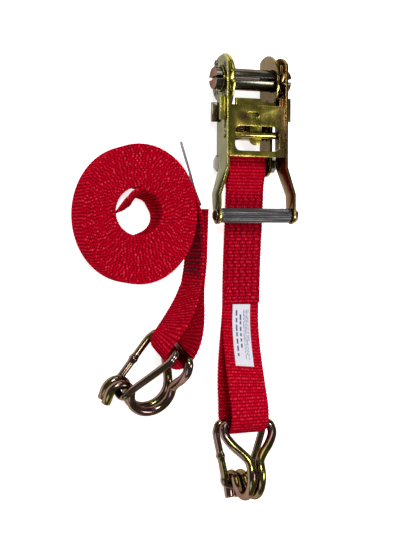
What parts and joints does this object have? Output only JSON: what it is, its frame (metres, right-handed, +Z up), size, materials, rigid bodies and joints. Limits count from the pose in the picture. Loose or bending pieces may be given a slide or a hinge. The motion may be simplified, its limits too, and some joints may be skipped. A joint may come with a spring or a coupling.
{
  "type": "ratchet tie down",
  "caption": "Ratchet tie down set: a closed ratchet buckle on a short red webbing with a wire hook, and a coiled long webbing with a matching hook.",
  "frame": {"origin": "centre of the set's footprint on the ground", "axes": "+X across the buckle, +Y from the short strap's hook to the ratchet, +Z up"},
  "size_m": [0.1944, 0.3918, 0.0612],
  "materials": {
    "zinc_plating": "yellow passivated zinc plating, glossy with green and pink tints",
    "dull_zinc": "darker worn zinc plating",
    "bolt_steel": "bright plated steel",
    "spring_steel": "drawn spring wire",
    "grip_plastic": "ribbed dark grey moulded sleeve",
    "webbing": "woven red polyester webbing with cross ribs",
    "label": "white woven label",
    "tag": "thin grey tag"
  },
  "bodies": {
    "buckle_frame": {"frame": "zinc_plating", "anchor_bolt": "bolt_steel", "anchor_nut": "bolt_steel", "anchor_sleeve": "bolt_steel", "locking_pawl_spring": "spring_steel"},
    "handle": {"handle": "zinc_plating", "finger_bar": "zinc_plating", "grip_axle": "bolt_steel", "grip_nut": "bolt_steel", "driving_pawl_spring": "spring_steel"},
    "grip": {"grip_sleeve": "grip_plastic"},
    "spool": {"spool_half_upper": "dull_zinc", "spool_half_lower": "dull_zinc", "ratchet_wheel_left": "zinc_plating", "ratchet_wheel_right": "zinc_plating", "spool_washer_left": "zinc_plating", "spool_washer_right": "zinc_plating", "cotter_pin_left": "bolt_steel", "cotter_pin_right": "bolt_steel"},
    "locking_pawl": {"locking_pawl": "dull_zinc"},
    "driving_pawl": {"driving_pawl": "zinc_plating"},
    "short_strap": {"short_strap": "webbing", "short_strap_label": "label"},
    "short_hook": {"short_hook": "zinc_plating"},
    "short_keeper": {"short_hook_keeper": "zinc_plating"},
    "long_strap": {"long_strap_coil": "webbing", "long_strap_tail": "webbing", "long_strap_tag": "tag"},
    "long_hook": {"long_hook": "zinc_plating"},
    "long_keeper": {"long_hook_keeper": "zinc_plating"}
  },
  "joints": [
    {"name": "handle_hinge", "type": "hinge", "parent": "buckle_frame", "child": "handle", "pos_m": [0.0573, 0.17186, 0.0245], "axis": [-1, 0, 0], "range_deg": [0, 170]},
    {"name": "grip_spin", "type": "hinge", "parent": "handle", "child": "grip", "pos_m": [0.0573, 0.05486, 0.033], "axis": [1, 0, 0], "continuous": true},
    {"name": "spool_spin", "type": "hinge", "parent": "buckle_frame", "child": "spool", "pos_m": [0.0573, 0.17186, 0.0245], "axis": [1, 0, 0], "continuous": true},
    {"name": "locking_pawl_slide", "type": "slide", "parent": "buckle_frame", "child": "locking_pawl", "axis": [0, -1, 0], "range_m": [0, 0.006], "stiffness_N_per_m": 700, "springref_m": -0.002, "deforming": ["locking_pawl_spring"]},
    {"name": "driving_pawl_slide", "type": "slide", "parent": "handle", "child": "driving_pawl", "axis": [0, -1, 0], "range_m": [0, 0.006], "stiffness_N_per_m": 700, "springref_m": -0.002, "deforming": ["driving_pawl_spring"]},
    {"name": "short_strap_swing", "type": "hinge", "parent": "buckle_frame", "child": "short_strap", "pos_m": [0.0573, 0.10036, 0.011], "axis": [-1, 0, 0], "range_deg": [-45, 15]},
    {"name": "short_hook_swivel", "type": "hinge", "parent": "short_strap", "child": "short_hook", "pos_m": [0.0489, -0.11714, 0.0283], "axis": [1, 0, 0], "range_deg": [-25, 25]},
    {"name": "short_keeper_play", "type": "hinge", "parent": "short_hook", "child": "short_keeper", "pos_m": [0.0489, -0.12483, 0.02051], "axis": [1, 0, 0], "range_deg": [-1.5, 1.5]},
    {"name": "long_strap_lift", "type": "slide", "parent": "buckle_frame", "child": "long_strap", "axis": [0, 0, 1], "range_m": [0, 0.1]},
    {"name": "long_hook_swivel", "type": "hinge", "parent": "long_strap", "child": "long_hook", "pos_m": [-0.01649, -0.05536, 0.03007], "axis": [0.113, -0.3759, 0.9197], "range_deg": [-20, 20]},
    {"name": "long_keeper_play", "type": "hinge", "parent": "long_hook", "child": "long_keeper", "pos_m": [-0.02305, -0.05168, 0.03238], "axis": [0.113, -0.3759, 0.9197], "range_deg": [-1.5, 1.5]}
  ]
}
